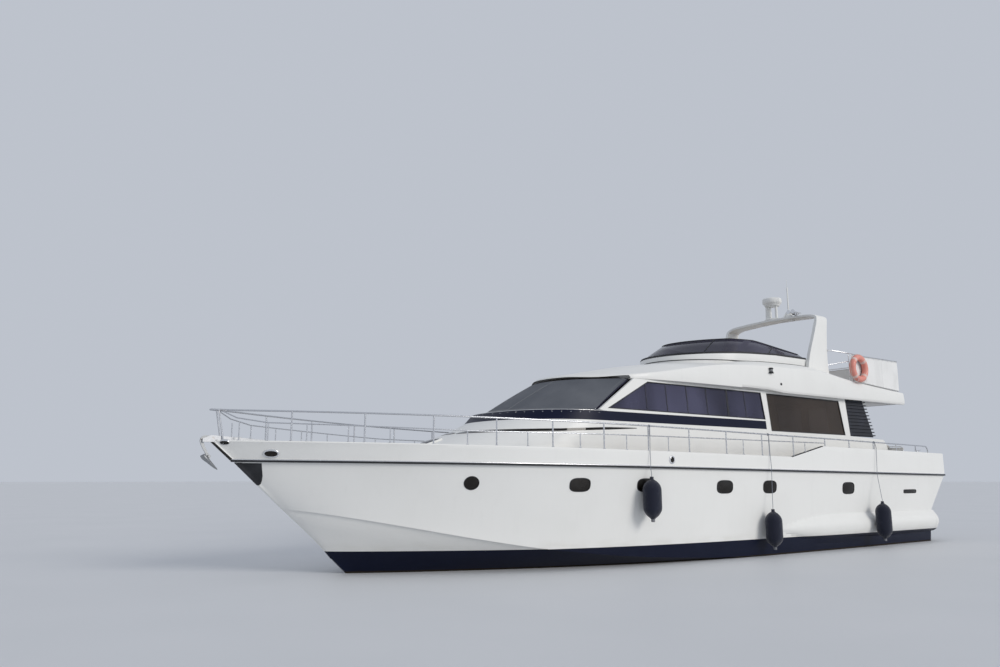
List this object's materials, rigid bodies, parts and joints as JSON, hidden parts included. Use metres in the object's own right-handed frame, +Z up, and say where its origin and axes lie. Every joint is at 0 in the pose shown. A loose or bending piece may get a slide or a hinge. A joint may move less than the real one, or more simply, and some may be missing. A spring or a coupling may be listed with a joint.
{
  "type": "motor yacht",
  "caption": "Flybridge motor yacht with a planing hull, walk-round decks, hollow saloon, radar arch, covered windscreen, stern stairs and bathing platform, propellers and rudders.",
  "frame": {"origin": "on the waterline, on the centre line, about half way along the hull", "axes": "+X towards the bow, +Y to port, +Z up"},
  "size_m": [20.89, 5.6773, 8.9401],
  "materials": {
    "gelcoat": "polished off-white gelcoat",
    "aerial_plastic": "white glass fibre",
    "black_rubber": "half round with a bright steel strip",
    "tinted_glass": "dark tint",
    "smoked_acrylic": "smoked",
    "black_plastic": "satin",
    "polished_steel": "polished",
    "galvanised_steel": "galvanised",
    "mesh_cloth": "coated open weave",
    "upholstery": "off-white marine vinyl",
    "dodger_cloth": "woven acrylic",
    "orange_plastic": "sun faded",
    "teak": "varnished",
    "engine_iron": "painted grey",
    "bronze": "cast bronze",
    "fender_cloth": "navy knitted cover"
  },
  "bodies": {
    "boat": {"hull": "gelcoat", "deck": "gelcoat", "bathing_platform": "gelcoat", "coachroof": "gelcoat", "house_side_port": "gelcoat", "house_side_starboard": "gelcoat", "aft_bulkhead": "gelcoat", "roof": "gelcoat", "fly_coaming": "gelcoat", "radar_arch": "gelcoat", "radome": "gelcoat", "fly_console": "gelcoat", "cockpit_bench": "gelcoat", "aerial": "aerial_plastic", "rub_rail": "black_rubber", "forward_window_port": "tinted_glass", "forward_window_starboard": "tinted_glass", "saloon_window_port": "tinted_glass", "saloon_window_starboard": "tinted_glass", "windscreen": "tinted_glass", "fly_screen": "smoked_acrylic", "louvre_port": "black_plastic", "louvre_starboard": "black_plastic", "helm_console": "black_plastic", "fly_rail": "polished_steel", "side_rail_port": "polished_steel", "side_rail_starboard": "polished_steel", "bow_roller": "polished_steel", "windlass": "polished_steel", "fly_ladder": "polished_steel", "anchor": "galvanised_steel", "windscreen_cover": "mesh_cloth", "fly_helm_seat": "upholstery", "fly_sofa": "upholstery", "cockpit_cushion": "upholstery", "helm_seat": "upholstery", "saloon_sofa": "upholstery", "dodger": "dodger_cloth", "lifebuoy": "orange_plastic", "cockpit_table": "teak", "engine_port": "engine_iron", "engine_starboard": "engine_iron", "shaft_bracket_port": "bronze", "shaft_bracket_starboard": "bronze", "fender_forward": "fender_cloth", "fender_middle": "fender_cloth", "fender_aft": "fender_cloth"},
    "propeller_port": {"propeller_port": "bronze"},
    "propeller_starboard": {"propeller_starboard": "bronze"},
    "rudder_port": {"rudder_port": "bronze"},
    "rudder_starboard": {"rudder_starboard": "bronze"},
    "fly_wheel": {"fly_wheel": "polished_steel"},
    "helm_wheel": {"helm_wheel": "polished_steel"},
    "saloon_door": {"saloon_door": "tinted_glass"},
    "stair_gate_port": {"stair_gate_port": "gelcoat"},
    "stair_gate_starboard": {"stair_gate_starboard": "gelcoat"},
    "engine_hatch": {"engine_hatch": "teak"},
    "fly_hatch": {"fly_hatch": "gelcoat"},
    "fore_hatch": {"fore_hatch": "gelcoat"}
  },
  "joints": [
    {"name": "propeller_port_turn", "type": "hinge", "parent": "boat", "child": "propeller_port", "pos_m": [-7.75, 0.95, -1.01], "axis": [0.9917, 0, 0.1289], "continuous": true},
    {"name": "propeller_starboard_turn", "type": "hinge", "parent": "boat", "child": "propeller_starboard", "pos_m": [-7.75, -0.95, -1.01], "axis": [0.9917, 0, 0.1289], "continuous": true},
    {"name": "rudder_port_turn", "type": "hinge", "parent": "boat", "child": "rudder_port", "pos_m": [-8.5, 0.95, -0.9], "axis": [0, 0, 1], "range_deg": [-35, 35]},
    {"name": "rudder_starboard_turn", "type": "hinge", "parent": "boat", "child": "rudder_starboard", "pos_m": [-8.5, -0.95, -0.9], "axis": [0, 0, 1], "range_deg": [-35, 35]},
    {"name": "fly_wheel_turn", "type": "hinge", "parent": "boat", "child": "fly_wheel", "pos_m": [-2.6351, 0.42, 4.8192], "axis": [-0.8525, 0, 0.5227], "range_deg": [-425, 425]},
    {"name": "helm_wheel_turn", "type": "hinge", "parent": "boat", "child": "helm_wheel", "pos_m": [1.7419, -0.7, 3.0483], "axis": [-0.8776, 0, 0.4794], "range_deg": [-425, 425]},
    {"name": "saloon_door_slide", "type": "slide", "parent": "boat", "child": "saloon_door", "axis": [0, 1, 0], "range_m": [0, 0.93]},
    {"name": "stair_gate_port_turn", "type": "hinge", "parent": "boat", "child": "stair_gate_port", "pos_m": [-8.38, 1.52, 2], "axis": [0, 0, 1], "range_deg": [0, 90]},
    {"name": "stair_gate_starboard_turn", "type": "hinge", "parent": "boat", "child": "stair_gate_starboard", "pos_m": [-8.38, -1.52, 2], "axis": [0, 0, -1], "range_deg": [0, 90]},
    {"name": "engine_hatch_turn", "type": "hinge", "parent": "boat", "child": "engine_hatch", "pos_m": [-7.006, 0, 1.978], "axis": [0, 1, 0], "range_deg": [0, 80]},
    {"name": "fly_hatch_turn", "type": "hinge", "parent": "boat", "child": "fly_hatch", "pos_m": [-7.456, -1.125, 4.114], "axis": [0, 1, 0], "range_deg": [0, 85]},
    {"name": "fore_hatch_turn", "type": "hinge", "parent": "boat", "child": "fore_hatch", "pos_m": [7.97, 0, 2.135], "axis": [0, 1, 0], "range_deg": [0, 80]}
  ],
  "couplings": [
    {"joint": "rudder_starboard_turn", "follows": "rudder_port_turn", "ratio": 1},
    {"joint": "fly_wheel_turn", "follows": "rudder_port_turn", "ratio": -12},
    {"joint": "helm_wheel_turn", "follows": "rudder_port_turn", "ratio": -12}
  ]
}
